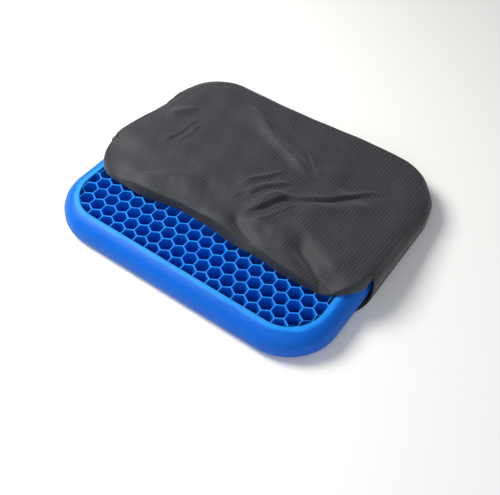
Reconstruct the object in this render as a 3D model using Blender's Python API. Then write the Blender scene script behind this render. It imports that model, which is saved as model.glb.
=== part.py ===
"""Honeycomb gel seat cushion, drawn part of the way out of its zip cover.

Metres, +Z up. X runs across the seat, +Y towards the closed back of the cover. The origin is on the
surface that the cushion lies on, under the centre of the gel pad.

The pad is one moulding: a round-edged rim around hexagonal cells that are open right through.
The cover is a sewn bag. Its mouth is turned under on itself, so the front of the pad is bare.
"""

import math

import bmesh
import bpy
from mathutils import Vector

# Gel pad
PAD_WIDTH = 0.420
PAD_DEPTH = 0.370
PAD_HEIGHT = 0.036
PAD_CORNER = 0.072  # radius of the pad's outer corners, seen from above
RIM_WIDTH = 0.022  # solid rim, from the cells out to its widest point
RIM_SHOULDER = 0.023  # height of the rounding above the widest point
RIM_FOOT = 0.009  # height of the rounding at the foot
RIM_FOOT_INSET = 0.007  # how far the foot of the rim draws in
RIM_UPRIGHT_LEAST = 0.001  # height left upright between the two roundings, which limits the upper one
CELL_PITCH = 0.0193  # centre to centre of neighbouring cells
CELL_WALL = 0.0018
CELL_MARGIN = 0.0004  # material left between a cut cell and the rim's inner edge
CELL_SMALLEST = 0.16  # share of a whole cell below which a cut cell is left solid

# Cover
FABRIC = 0.0015  # thickness of the sewn panels
TOP_LOFT = 0.003  # thickness of the upper panel with its soft folds
COVER_EASE = 0.0035  # slack between the pad's side and the wall of the cover
MOUTH_SETBACK = 0.093  # bare depth of pad in front of the cover
MOUTH_CORNER = 0.055  # radius of the mouth's corners, seen from above
LIFT_FRONT = 0.013  # height of the upper panel above the pad at the mouth
LIFT_BACK = 0.003  # and at the back
LIFT_LENGTH = 0.130  # distance over which it falls from one to the other
CUFF_DEPTH = 0.032  # how far the mouth is turned under
CUFF_NOSE = 0.004  # rounding of the turned edge
LIP_DEPTH = 0.014  # lower half of the front wall, laid flat under the pad
LIP_SIDE_MARGIN = 0.070  # from the side of the cover to the end of a front lip

# Zip, on the left wall
TAPE_WIDTH = 0.009
TAPE_THICKNESS = 0.0008
CHAIN_BACK = 0.0012  # spine that joins one side's teeth
TOOTH_LENGTH = 0.0018
TOOTH_WIDTH = 0.0014
TOOTH_PITCH = 0.0032
CHAIN_THICKNESS = 0.0024
CHAIN_PARTING = 0.0016  # half the gap between the two rows behind the slider
STRIP_AT_MOUTH = 0.0015  # height of wall cloth left beside each tape where the rows part furthest
ZIP_END_FROM_CORNER = 0.003  # from where the back corner starts to the zip's closed end
ZIP_STOP_LENGTH = 0.004
SPREAD_SHARE = 0.479  # of the chain in front of the slider, the part where the rows open out
SPREAD_MARGIN = 0.006  # straight chain kept ahead of the slider's last position

# Slider and pull
SLIDER_LENGTH = 0.016
SLIDER_PLATE = 0.0012
SLIDER_PLAY = 0.0005  # each side of the chain, inside the slider
SLIDER_FLANGE = 0.0010
SLIDER_SLOT_PLAY = 0.0005  # each side of the tape, between the slider's flanges
WEDGE_LENGTH = 0.005
WEDGE_PLAY = 0.0004
BRIDGE_LENGTH = 0.010
BRIDGE_WIDTH = 0.0024
BRIDGE_BAR = 0.0013
BRIDGE_POST = 0.0015
PULL_THICKNESS = 0.0012
PULL_PLAY = 0.0004
PULL_LENGTH = 0.030
PULL_WIDTH = 0.009
PULL_RAIL = 0.0016
PULL_WINDOW = 0.0075
PULL_END_ROUND = 0.003

GAP = 0.0003  # between pieces that touch
ARC_STEPS = 10  # straight lengths in each quarter of a plan corner
NOSE_STEPS = 3
SIDE_STEPS = 10
ZIP_STEPS = 16
PULL_ARC_STEPS = 4
PANEL_RINGS = (0.05, 0.25, 0.45, 0.65, 0.83, 1.0)  # sizes of the upper panel's outlines, against its edge
SHORTEST_EDGE = 0.0004  # a clipped cell has no edge shorter than this
SMOOTH_BELOW = 40  # degrees between faces that are shaded as one

# Worked out from the sizes above
PAD_FOOT_Z = FABRIC + GAP
PAD_TOP_Z = PAD_FOOT_Z + PAD_HEIGHT
PAD_FRONT_Y = -PAD_DEPTH / 2
WALL_X = PAD_WIDTH / 2 + COVER_EASE  # inner face of the side walls
WALL_BACK_Y = PAD_DEPTH / 2 + COVER_EASE  # inner face of the back wall
COVER_X = WALL_X + FABRIC
COVER_BACK_Y = WALL_BACK_Y + FABRIC
MOUTH_Y = PAD_FRONT_Y + MOUTH_SETBACK
BACK_CORNER = PAD_CORNER + COVER_EASE + FABRIC
WALL_FOOT_Z = FABRIC + GAP
WALL_FRONT_Y = MOUTH_Y + MOUTH_CORNER
LEVEL_END_Y = MOUTH_Y + max(MOUTH_CORNER, CUFF_DEPTH + GAP + TAPE_WIDTH)
ZIP_X = -(WALL_X + FABRIC / 2)  # middle of the left wall
ZIP_Z = WALL_FOOT_Z + PAD_HEIGHT / 2
ZIP_END_Y = COVER_BACK_Y - BACK_CORNER - ZIP_END_FROM_CORNER
CHAIN_HEIGHT = CHAIN_BACK + TOOTH_LENGTH
ZIP_HALF = CHAIN_HEIGHT + GAP + TAPE_WIDTH + GAP  # one row of teeth and its tape
SLIDER_Y = ZIP_END_Y - ZIP_STOP_LENGTH - GAP - SLIDER_LENGTH / 2
SLIDER_FRONT_Y = SLIDER_Y - SLIDER_LENGTH / 2
SPREAD_START_Y = WALL_FRONT_Y + (SLIDER_FRONT_Y - WALL_FRONT_Y) * SPREAD_SHARE
SHOULDER = min(RIM_SHOULDER, PAD_HEIGHT - RIM_FOOT - RIM_UPRIGHT_LEAST)

GEL_BLUE = (0.012, 0.165, 0.80, 1.0)
DOTTED_CLOTH = (0.028, 0.028, 0.032, 1.0)
MESH_CLOTH = (0.018, 0.018, 0.020, 1.0)
TAPE_BLACK = (0.012, 0.012, 0.013, 1.0)
TOOTH_BLACK = (0.020, 0.020, 0.022, 1.0)
SLIDER_METAL = (0.10, 0.10, 0.11, 1.0)


def clear_scene():
    for old in list(bpy.data.objects):
        bpy.data.objects.remove(old, do_unlink=True)


def material(name, colour, roughness, metallic=0.0):
    made = bpy.data.materials.new(name)
    made.use_nodes = True
    shader = made.node_tree.nodes["Principled BSDF"]
    shader.inputs["Base Color"].default_value = colour
    shader.inputs["Roughness"].default_value = roughness
    shader.inputs["Metallic"].default_value = metallic
    made.diffuse_color = colour
    return made


def add_object(name, bm, finish, origin=(0.0, 0.0, 0.0), smooth=False):
    """Turns bm, drawn in world places, into an object whose origin is where it is asked for."""
    mesh = bpy.data.meshes.new(name)
    bmesh.ops.recalc_face_normals(bm, faces=bm.faces)
    bmesh.ops.translate(bm, verts=bm.verts, vec=-Vector(origin))
    bm.to_mesh(mesh)
    bm.free()
    if smooth:
        mesh.shade_smooth()
        mesh.set_sharp_from_angle(angle=math.radians(SMOOTH_BELOW))
    made = bpy.data.objects.new(name, mesh)
    made.location = origin
    made.data.materials.append(finish)
    bpy.context.scene.collection.objects.link(made)
    return made


def arc(centre, radius, start, end, steps=ARC_STEPS):
    """Points on a plan arc, both ends included, angles in degrees."""
    points = []
    for i in range(steps + 1):
        angle = math.radians(start + (end - start) * i / steps)
        points.append((centre[0] + radius * math.cos(angle), centre[1] + radius * math.sin(angle)))
    return points


def rounded_outline(half_x, front, back, front_radius, back_radius):
    """A rectangle with rounded corners, counter-clockwise from its right side."""
    return (
        arc((half_x - back_radius, back - back_radius), back_radius, 0, 90)
        + arc((back_radius - half_x, back - back_radius), back_radius, 90, 180)
        + arc((front_radius - half_x, front + front_radius), front_radius, 180, 270)
        + arc((half_x - front_radius, front + front_radius), front_radius, 270, 360)
    )


def pad_outline(inset):
    """The pad's plan outline, drawn in by inset all round."""
    half_x = PAD_WIDTH / 2 - inset
    half_y = PAD_DEPTH / 2 - inset
    radius = PAD_CORNER - inset
    return rounded_outline(half_x, -half_y, half_y, radius, radius)


def ring_faces(bm, rings):
    """Joins closed rings of equal length with quads."""
    for lower, upper in zip(rings, rings[1:]):
        count = len(lower)
        for i in range(count):
            j = (i + 1) % count
            bm.faces.new((lower[i], lower[j], upper[j], upper[i]))


def lofted(rings):
    """A closed solid through rings of points, capped at the first and the last."""
    bm = bmesh.new()
    made = [[bm.verts.new(point) for point in ring] for ring in rings]
    ring_faces(bm, made)
    bm.faces.new(list(reversed(made[0])))
    bm.faces.new(made[-1])
    return bm


def plate(outline, low, high):
    """A flat plate with the given plan outline."""
    return lofted([[(x, y, low) for x, y in outline], [(x, y, high) for x, y in outline]])


def box(low, high):
    outline = [(low[0], low[1]), (high[0], low[1]), (high[0], high[1]), (low[0], high[1])]
    return plate(outline, low[2], high[2])


def wall_along(path, inward, outward, low, high):
    """An upright ribbon along a plan path. low and high give its edges' heights at a y."""
    sections = []
    for i, point in enumerate(path):
        before = Vector(path[max(i - 1, 0)])
        after = Vector(path[min(i + 1, len(path) - 1)])
        along = (after - before).normalized()
        right = Vector((along.y, -along.x))
        inner = Vector(point) - right * inward
        outer = Vector(point) + right * outward
        sections.append(
            [
                (inner.x, inner.y, low(inner.y)),
                (outer.x, outer.y, low(outer.y)),
                (outer.x, outer.y, high(outer.y)),
                (inner.x, inner.y, high(inner.y)),
            ]
        )
    return lofted(sections)


def clip_to_outline(polygon, outline):
    """The part of a convex polygon inside a convex counter-clockwise outline."""
    kept = [Vector(point) for point in polygon]
    for start, end in zip(outline, outline[1:] + outline[:1]):
        a = Vector(start)
        edge = Vector(end) - a
        if edge.length < 1e-9:
            continue
        inside = [edge.cross(point - a) >= 0 for point in kept]
        if all(inside):
            continue
        clipped = []
        for i, point in enumerate(kept):
            j = (i + 1) % len(kept)
            if inside[i]:
                clipped.append(point)
            if inside[i] != inside[j]:
                step = kept[j] - point
                share = edge.cross(a - point) / edge.cross(step)
                clipped.append(point + step * share)
        kept = clipped
        if len(kept) < 3:
            return []
    return kept


def area(polygon):
    total = 0.0
    for i, point in enumerate(polygon):
        total += point.cross(polygon[(i + 1) % len(polygon)])
    return total / 2


def without_short_edges(polygon):
    """Drops points that clipping has left almost on top of the point before."""
    return [point for i, point in enumerate(polygon) if (point - polygon[i - 1]).length > SHORTEST_EDGE]


def cell_outlines():
    """Hexagonal cells in rows across the pad, the outer ones cut off along the rim."""
    limit = pad_outline(RIM_WIDTH + CELL_MARGIN)
    radius = (CELL_PITCH - CELL_WALL) / math.sqrt(3)
    row_step = CELL_PITCH * math.sqrt(3) / 2
    rows = math.ceil(PAD_DEPTH / 2 / row_step)
    columns = math.ceil(PAD_WIDTH / 2 / CELL_PITCH)
    whole = 1.5 * math.sqrt(3) * radius**2
    cells = []
    for row in range(-rows, rows):
        shift = 0.0 if row % 2 == 0 else CELL_PITCH / 2
        for column in range(-columns, columns + 1):
            centre_x = column * CELL_PITCH + shift
            centre_y = (row + 0.5) * row_step
            hexagon = []
            for corner in range(6):
                angle = math.radians(30 + 60 * corner)
                hexagon.append((centre_x + radius * math.cos(angle), centre_y + radius * math.sin(angle)))
            cell = without_short_edges(clip_to_outline(hexagon, limit))
            if len(cell) >= 3 and area(cell) > CELL_SMALLEST * whole:
                cells.append(cell)
    return cells


def rim_profile():
    """(inset, height) pairs up the outside of the rim: foot rounding, widest point, shoulder."""
    profile = []
    for i in range(NOSE_STEPS + 1):
        turn = math.radians(90 * i / NOSE_STEPS)
        inset = RIM_FOOT_INSET * (1 - math.sin(turn))
        profile.append((inset, RIM_FOOT * (1 - math.cos(turn))))
    for i in range(2 * NOSE_STEPS + 1):
        turn = math.radians(90 * i / (2 * NOSE_STEPS))
        inset = RIM_WIDTH * (1 - math.cos(turn))
        profile.append((inset, PAD_HEIGHT - SHOULDER * (1 - math.sin(turn))))
    return profile


def cap_with_cells(bm, ring, holes):
    """Fills the flat face between the rim's edge and the mouths of the cells."""
    edges = []
    for loop in [ring] + holes:
        for i, vert in enumerate(loop):
            edge = bm.edges.get((vert, loop[(i + 1) % len(loop)]))
            edges.append(edge or bm.edges.new((vert, loop[(i + 1) % len(loop)])))
    bmesh.ops.triangle_fill(bm, use_beauty=True, use_dissolve=False, edges=edges)


def make_gel_pad(finish):
    bm = bmesh.new()
    rings = []
    for inset, height in rim_profile():
        rings.append([bm.verts.new((x, y, PAD_FOOT_Z + height)) for x, y in pad_outline(inset)])
    ring_faces(bm, rings)
    low_holes = []
    high_holes = []
    for cell in cell_outlines():
        low = [bm.verts.new((point.x, point.y, PAD_FOOT_Z)) for point in cell]
        high = [bm.verts.new((point.x, point.y, PAD_TOP_Z)) for point in cell]
        ring_faces(bm, [high, low])
        low_holes.append(low)
        high_holes.append(high)
    cap_with_cells(bm, rings[0], low_holes)
    cap_with_cells(bm, rings[-1], high_holes)
    add_object("gel_pad", bm, finish, origin=(0.0, 0.0, PAD_FOOT_Z), smooth=True)


def smooth_step(value):
    share = min(max(value, 0.0), 1.0)
    return share * share * (3 - 2 * share)


def panel_underside(y):
    """Height of the upper panel's underside: high over the turned mouth, low at the back."""
    fall = smooth_step((y - LEVEL_END_Y) / LIFT_LENGTH)
    return PAD_TOP_Z + GAP + LIFT_FRONT + (LIFT_BACK - LIFT_FRONT) * fall


def wall_top(y):
    return panel_underside(y) - GAP


def wall_foot(_y):
    return WALL_FOOT_Z


def side_stations():
    """Places along a side wall, from its front to where the back corner starts."""
    start = WALL_FRONT_Y
    end = COVER_BACK_Y - BACK_CORNER
    return [start + (end - start) * i / SIDE_STEPS for i in range(SIDE_STEPS)]


def cover_outline():
    """The cover's plan outline, with points along its sides so that its height can follow them."""
    corners = rounded_outline(COVER_X, MOUTH_Y, COVER_BACK_Y, MOUTH_CORNER, BACK_CORNER)
    half = len(corners) // 2
    between = side_stations()[1:]
    left = [(-COVER_X, y) for y in reversed(between)]
    right = [(COVER_X, y) for y in between]
    return corners[:half] + left + corners[half:] + right


def make_top_panel(finish):
    """One sheet that follows panel_underside, built from outlines shrunk towards its middle."""
    outline = cover_outline()
    centre_y = (MOUTH_Y + COVER_BACK_Y) / 2

    def ring(share, raise_by):
        points = []
        for x, y in outline:
            ring_y = centre_y + (y - centre_y) * share
            points.append((x * share, ring_y, panel_underside(ring_y) + raise_by))
        return points

    under = [ring(share, 0.0) for share in PANEL_RINGS]
    over = [ring(share, TOP_LOFT) for share in reversed(PANEL_RINGS)]
    add_object("cover_top_panel", lofted(under + over), finish, smooth=True)


def make_bottom_panel(finish):
    add_object("cover_bottom_panel", plate(cover_outline(), 0.0, FABRIC), finish)


def side_path(side, front):
    """Plan path of a side wall's inner face, front to back. side is 1 on the right, -1 on the left."""
    path = [(side * WALL_X, front)]
    path += [(side * WALL_X, y) for y in side_stations() if y > front + GAP]
    radius = PAD_CORNER + COVER_EASE
    for x, y in arc((WALL_X - radius, WALL_BACK_Y - radius), radius, 0, 90):
        path.append((side * x, y))
    return path


def make_walls(finish):
    right = side_path(1, WALL_FRONT_Y)
    add_object("right_wall", wall_along(right, 0.0, FABRIC, wall_foot, wall_top), finish, smooth=True)
    left = side_path(-1, ZIP_END_Y + GAP)
    add_object("left_wall", wall_along(left, FABRIC, 0.0, wall_foot, wall_top), finish, smooth=True)
    half = WALL_X - PAD_CORNER - COVER_EASE - GAP
    low = (-half, WALL_BACK_Y, WALL_FOOT_Z)
    high = (half, COVER_BACK_Y, wall_top(COVER_BACK_Y))
    add_object("back_wall", box(low, high), finish)


def make_cuff(finish):
    """The mouth's edge, turned under the upper panel and lying on the pad, round-nosed."""
    low = PAD_TOP_Z + GAP
    high = PAD_TOP_Z + LIFT_FRONT
    nose = []
    for i in range(NOSE_STEPS + 1):
        turn = math.radians(90 * i / NOSE_STEPS)
        nose.append((CUFF_NOSE * (1 - math.sin(turn)), CUFF_NOSE * (1 - math.cos(turn))))
    profile = [(inset, low + rise) for inset, rise in nose]
    profile += [(inset, high - rise) for inset, rise in reversed(nose)]
    profile += [(CUFF_DEPTH, high), (CUFF_DEPTH, low)]

    def section(angle, centre_x):
        turn = math.radians(angle)
        points = []
        for inset, height in profile:
            reach = MOUTH_CORNER - inset
            x = centre_x + reach * math.cos(turn)
            y = WALL_FRONT_Y + reach * math.sin(turn)
            points.append((x, y, height))
        return points

    corner_x = COVER_X - MOUTH_CORNER
    steps = range(ARC_STEPS + 1)
    left = [section(180 + 90 * i / ARC_STEPS, -corner_x) for i in steps]
    right = [section(270 + 90 * i / ARC_STEPS, corner_x) for i in steps]
    add_object("mouth_cuff", lofted(left + right), finish, smooth=True)


def make_front_lips(cloth, tape):
    """The upper lip's zip edge behind the cuff, and the lower lip laid flat under the pad."""
    half = COVER_X - LIP_SIDE_MARGIN
    lip_back = MOUTH_Y - GAP
    lip_front = lip_back - LIP_DEPTH
    add_object("lower_lip", box((-half, lip_front, 0.0), (half, lip_back, FABRIC)), cloth)
    tape_back = lip_front - GAP
    edge = box((-half, tape_back - TAPE_WIDTH, 0.0), (half, tape_back, FABRIC))
    add_object("zip_edge_lower_front", edge, tape)
    inner_y = MOUTH_Y + CUFF_DEPTH + GAP
    low = (-half, inner_y, PAD_TOP_Z + GAP)
    high = (half, inner_y + TAPE_WIDTH, PAD_TOP_Z + GAP + FABRIC)
    add_object("zip_edge_upper_front", box(low, high), tape)


def parting(y, spread):
    """Half the gap between the rows of teeth: even behind SPREAD_START_Y, opening to the mouth."""
    share = smooth_step((SPREAD_START_Y - y) / (SPREAD_START_Y - WALL_FRONT_Y))
    return CHAIN_PARTING + (spread - CHAIN_PARTING) * share


def zip_level(y, side, from_chain):
    """Height on the left wall at a distance from one row's tooth tips. side is 1 for the upper row."""
    room = wall_top(WALL_FRONT_Y) - ZIP_Z if side > 0 else ZIP_Z - WALL_FOOT_Z
    spread = room - STRIP_AT_MOUTH - ZIP_HALF
    return ZIP_Z + side * (parting(y, spread) + from_chain)


def zip_path():
    step = (ZIP_END_Y - WALL_FRONT_Y) / ZIP_STEPS
    return [(ZIP_X, WALL_FRONT_Y + step * i) for i in range(ZIP_STEPS + 1)]


def ribbon_between(side, near, far, thickness):
    """An upright ribbon beside one row of teeth, between two distances from the tooth tips."""

    def edge(distance):
        return lambda y: zip_level(y, side, distance)

    low, high = (edge(near), edge(far)) if side > 0 else (edge(far), edge(near))
    return wall_along(zip_path(), thickness / 2, thickness / 2, low, high)


def make_zip_side(side, name, cloth, tape, teeth):
    """One half of the zip on the left wall: cloth strip, tape and its row of teeth."""
    tape_start = CHAIN_HEIGHT + GAP
    ribbon = ribbon_between(side, tape_start, tape_start + TAPE_WIDTH, TAPE_THICKNESS)
    add_object(f"zip_tape_{name}", ribbon, tape, smooth=True)

    def seam(y):
        return zip_level(y, side, ZIP_HALF)

    low, high = (seam, wall_top) if side > 0 else (wall_foot, seam)
    strip = wall_along(zip_path(), FABRIC / 2, FABRIC / 2, low, high)
    add_object(f"left_{name}_strip", strip, cloth, smooth=True)
    add_object(f"zip_teeth_{name}", tooth_row(side), teeth)


def tooth_row(side):
    """A comb: a spine along the tape with teeth that reach towards the other row."""
    shift = 0.0 if side > 0 else TOOTH_PITCH / 2
    first = WALL_FRONT_Y + TOOTH_PITCH / 2 + shift
    last = ZIP_END_Y - ZIP_STOP_LENGTH - GAP
    count = int((last - first - TOOTH_WIDTH / 2) / TOOTH_PITCH) + 1
    outline = [(WALL_FRONT_Y, TOOTH_LENGTH)]
    for i in range(count):
        middle = first + i * TOOTH_PITCH
        start = middle - TOOTH_WIDTH / 2
        end = middle + TOOTH_WIDTH / 2
        outline += [(start, TOOTH_LENGTH), (start, 0.0), (end, 0.0), (end, TOOTH_LENGTH)]
    outline.append((last, TOOTH_LENGTH))
    for i in range(ZIP_STEPS + 1):
        outline.append((last + (WALL_FRONT_Y - last) * i / ZIP_STEPS, CHAIN_HEIGHT))
    rings = []
    for x in (ZIP_X - CHAIN_THICKNESS / 2, ZIP_X + CHAIN_THICKNESS / 2):
        rings.append([(x, y, zip_level(y, side, distance)) for y, distance in outline])
    return lofted(rings)


def make_end_stop(finish):
    half_z = CHAIN_PARTING + CHAIN_HEIGHT
    low = (ZIP_X - CHAIN_THICKNESS / 2, ZIP_END_Y - ZIP_STOP_LENGTH, ZIP_Z - half_z)
    high = (ZIP_X + CHAIN_THICKNESS / 2, ZIP_END_Y, ZIP_Z + half_z)
    add_object("zip_end_stop", box(low, high), finish)


def slider_box(bm, out_low, out_high, y_low, y_high, z_low, z_high):
    """Adds a block to bm. out is the distance outwards from the middle of the wall."""
    centre = Vector((out_low + out_high, y_low + y_high, z_low + z_high)) / 2
    made = bmesh.ops.create_cube(bm, size=1.0)["verts"]
    bmesh.ops.scale(bm, vec=(out_high - out_low, y_high - y_low, z_high - z_low), verts=made)
    bmesh.ops.translate(bm, vec=(ZIP_X - centre.x, SLIDER_Y + centre.y, ZIP_Z + centre.z), verts=made)


def united(name, blocks, finish, origin):
    """Blocks that run into each other, made one body by Boolean unions."""
    first = None
    for i, block in enumerate(blocks):
        bm = bmesh.new()
        slider_box(bm, *block)
        piece = add_object(name if i == 0 else f"{name}_block_{i}", bm, finish, origin)
        if first is None:
            first = piece
            continue
        piece.hide_render = True
        piece.display_type = "WIRE"
        union = first.modifiers.new(f"Join {i}", "BOOLEAN")
        union.operation = "UNION"
        union.solver = "EXACT"
        union.object = piece
    return first


def slider_blocks():
    """Two plates, the wedge between the rows, four flanges over the tapes, and the pull's bridge."""
    inside = CHAIN_THICKNESS / 2 + SLIDER_PLAY
    outside = inside + SLIDER_PLATE
    half_y = SLIDER_LENGTH / 2
    chain_z = CHAIN_PARTING + CHAIN_HEIGHT
    flange_z = chain_z + GAP + SLIDER_FLANGE
    slot = TAPE_THICKNESS / 2 + SLIDER_SLOT_PLAY
    wedge_z = CHAIN_PARTING - WEDGE_PLAY
    sink = SLIDER_PLATE / 2
    blocks = [
        (inside, outside, -half_y, half_y, -flange_z, flange_z),
        (-outside, -inside, -half_y, half_y, -flange_z, flange_z),
        (-inside - sink, inside + sink, -half_y, WEDGE_LENGTH - half_y, -wedge_z, wedge_z),
    ]
    for side in (1, -1):
        near, far = sorted((side * slot, side * (inside + sink)))
        for level in (1, -1):
            low, high = sorted((level * (flange_z - SLIDER_FLANGE), level * flange_z))
            blocks.append((near, far, -half_y, half_y, low, high))
    half_bridge = BRIDGE_LENGTH / 2
    under_bar = outside + 2 * PULL_PLAY + PULL_THICKNESS
    over_bar = under_bar + BRIDGE_BAR
    half_width = BRIDGE_WIDTH / 2
    blocks.append((under_bar, over_bar, -half_bridge, half_bridge, -half_width, half_width))
    for low, high in ((-half_bridge, BRIDGE_POST - half_bridge), (half_bridge - BRIDGE_POST, half_bridge)):
        blocks.append((outside - sink, under_bar + BRIDGE_BAR / 2, low, high, -half_width, half_width))
    return blocks


def pull_axis_x():
    outside = CHAIN_THICKNESS / 2 + SLIDER_PLAY + SLIDER_PLATE
    return ZIP_X - outside - PULL_PLAY - PULL_THICKNESS / 2


def make_slider(finish):
    united("zip_slider", slider_blocks(), finish, (ZIP_X, SLIDER_Y, ZIP_Z))


def make_pull(finish):
    """A flat tab that lies back along the wall, with a window that the bridge passes through."""
    half_width = PULL_WIDTH / 2
    window_half = BRIDGE_WIDTH / 2 + PULL_PLAY
    bar = PULL_THICKNESS / 2
    tip = PULL_LENGTH - bar
    neck_half = window_half + PULL_RAIL
    outline = [(-bar, -neck_half), (PULL_WINDOW, -neck_half), (PULL_WINDOW + PULL_END_ROUND, -half_width)]
    round_y = tip - PULL_END_ROUND
    outline += arc((round_y, PULL_END_ROUND - half_width), PULL_END_ROUND, 270, 360, PULL_ARC_STEPS)
    outline += arc((round_y, half_width - PULL_END_ROUND), PULL_END_ROUND, 0, 90, PULL_ARC_STEPS)
    outline += [(PULL_WINDOW + PULL_END_ROUND, half_width), (PULL_WINDOW, neck_half), (-bar, neck_half)]
    window = [
        (bar, -window_half),
        (PULL_WINDOW, -window_half),
        (PULL_WINDOW, window_half),
        (bar, window_half),
    ]
    bm = bmesh.new()
    axis_x = pull_axis_x()
    faces = {}
    for out in (-bar, bar):
        loops = []
        for points in (outline, window):
            loops.append([bm.verts.new((axis_x + out, SLIDER_Y + y, ZIP_Z + z)) for y, z in points])
        cap_with_cells(bm, loops[0], loops[1:])
        faces[out] = loops
    for low, high in zip(faces[-bar], faces[bar]):
        ring_faces(bm, [low, high])
    add_object("zip_pull", bm, finish, origin=(axis_x, SLIDER_Y, ZIP_Z))


def build():
    clear_scene()
    gel = material("blue thermoplastic gel", GEL_BLUE, 0.35)
    dotted = material("dotted polyester cloth", DOTTED_CLOTH, 0.85)
    mesh_cloth = material("black mesh cloth", MESH_CLOTH, 0.9)
    tape = material("woven zip tape", TAPE_BLACK, 0.85)
    teeth = material("moulded zip teeth", TOOTH_BLACK, 0.4)
    metal = material("blackened zinc", SLIDER_METAL, 0.35, metallic=1.0)
    make_gel_pad(gel)
    make_top_panel(dotted)
    make_bottom_panel(mesh_cloth)
    make_walls(mesh_cloth)
    make_cuff(dotted)
    make_front_lips(mesh_cloth, tape)
    make_zip_side(1, "upper", mesh_cloth, tape, teeth)
    make_zip_side(-1, "lower", mesh_cloth, tape, teeth)
    make_end_stop(teeth)
    make_slider(metal)
    make_pull(metal)


build()
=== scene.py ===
"""Looks of a honeycomb gel seat cushion, drawn part of the way out of its sewn zip cover.

Everything is in metres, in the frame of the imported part: +X across the seat, +Y to the cover's closed
back, +Z up. Plan means seen from above. Sizes marked mm are turned to metres by the MM factor.
"""

import math

import bpy
import numpy as np
from bpy.props import FloatProperty, FloatVectorProperty, PointerProperty
from mathutils import Euler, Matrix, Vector


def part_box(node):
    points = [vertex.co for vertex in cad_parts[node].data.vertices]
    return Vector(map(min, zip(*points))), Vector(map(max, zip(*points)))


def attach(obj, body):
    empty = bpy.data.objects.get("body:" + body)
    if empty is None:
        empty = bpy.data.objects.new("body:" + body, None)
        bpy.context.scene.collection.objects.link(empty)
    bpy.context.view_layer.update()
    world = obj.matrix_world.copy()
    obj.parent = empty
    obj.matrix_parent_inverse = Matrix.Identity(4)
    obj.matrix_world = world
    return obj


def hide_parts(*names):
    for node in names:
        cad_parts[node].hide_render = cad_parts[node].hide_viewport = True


bl_info = {
    "name": "Gel seat cushion looks",
    "version": (1, 0, 0),
    "blender": (4, 5, 0),
    "location": "3D View > Sidebar > Cushion",
    "description": "Builds the gel pad, its sewn zip cover and the stage around the packed part",
    "category": "Object",
}

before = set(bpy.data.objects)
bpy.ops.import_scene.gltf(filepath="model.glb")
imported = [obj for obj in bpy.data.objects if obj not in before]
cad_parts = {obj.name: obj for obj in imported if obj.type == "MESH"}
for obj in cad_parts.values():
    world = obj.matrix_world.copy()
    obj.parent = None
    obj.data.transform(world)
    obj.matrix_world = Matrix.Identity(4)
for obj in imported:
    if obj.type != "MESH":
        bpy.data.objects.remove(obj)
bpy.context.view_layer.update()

MM = 0.001
PAD_LOW, PAD_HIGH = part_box("gel_pad")
PANEL_LOW, PANEL_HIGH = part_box("cover_top_panel")
_, BOTTOM_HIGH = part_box("cover_bottom_panel")
PAD_TOP = PAD_HIGH.z
PAD_HALF = np.array([PAD_HIGH.x, PAD_HIGH.y])
COVER_HALF_X = PANEL_HIGH.x
COVER_FRONT = PANEL_LOW.y
COVER_BACK = PANEL_HIGH.y
COVER_MIDDLE_Y = (COVER_FRONT + COVER_BACK) / 2
COVER_HALF = np.array([COVER_HALF_X, (COVER_BACK - COVER_FRONT) / 2])

# Rounding of the plan corners, as the part has them
PAD_CORNER = 0.072
MOUTH_CORNER = 0.055
BACK_CORNER = 0.077


def linear(hex_colour):
    """One sRGB hex colour as four linear values."""
    parts = [int(hex_colour[i : i + 2], 16) / 255 for i in (1, 3, 5)]
    curved = [c / 12.92 if c <= 0.04045 else ((c + 0.055) / 1.055) ** 2.4 for c in parts]
    return (*curved, 1.0)


# ---------------------------------------------------------------- settings


def length(name, description, default):
    return FloatProperty(name=name, description=description, default=default, unit="LENGTH")


def angle(name, description, degrees):
    return FloatProperty(name=name, description=description, default=math.radians(degrees), subtype="ANGLE")


def tint(name, description, hex_colour):
    default = linear(hex_colour)
    return FloatVectorProperty(name=name, description=description, default=default, size=4, subtype="COLOR")


class GelPadSettings(bpy.types.PropertyGroup):
    rim_width: length("Rim width", "Solid rim outside the cells", 0.022)
    cell_pitch: length("Cell pitch", "Centre to centre of neighbouring cells", 0.0193)
    cell_wall: length("Cell wall", "Thickness of the walls between cells", 0.0018)
    shoulder: length("Shoulder", "Height of the rounding on the rim's upper edge", 0.023)
    foot: length("Foot", "Height of the rounding at the rim's foot", 0.009)
    foot_inset: length("Foot inset", "How far the rim draws in at its foot", 0.007)
    unevenness: length("Unevenness", "Slow waves left by moulding soft gel", 0.0004)
    ripple: length("Ripple", "Waves in the rim's outer face, where soft gel bulges", 0.0006)
    colour: tint("Gel", "Body colour of the gel", "#005FC4")
    # The crest colour is a painted highlight: it is laid on the pad's uppermost 1.6 mm, where light catches
    # the wall tops and the rim
    crest: tint("Crest", "Colour where the gel is thin", "#1E8AEA")


class CoverSettings(bpy.types.PropertyGroup):
    cloth: length("Cloth", "Thickness of the sewn cloth", 0.0012)
    fold_height: FloatProperty(
        name="Fold height", description="Multiplies the height of every fold", default=1.0, min=0.0
    )
    dot_pitch: length("Dot pitch", "Centre to centre of the grip dots", 0.005)
    dot_radius: length("Dot radius", "Radius of one grip dot", 0.00055)
    colour: tint("Cloth", "Colour of the dotted cloth", "#202329")
    # The black mesh's own colour, darkened further as painted shade for walls that stand in shadow
    shaded_wall_colour: tint("Wall cloth", "Colour of the mesh cloth", "#0E0E0F")
    dot_colour: tint("Dots", "Colour of the grip dots", "#66676C")


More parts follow.
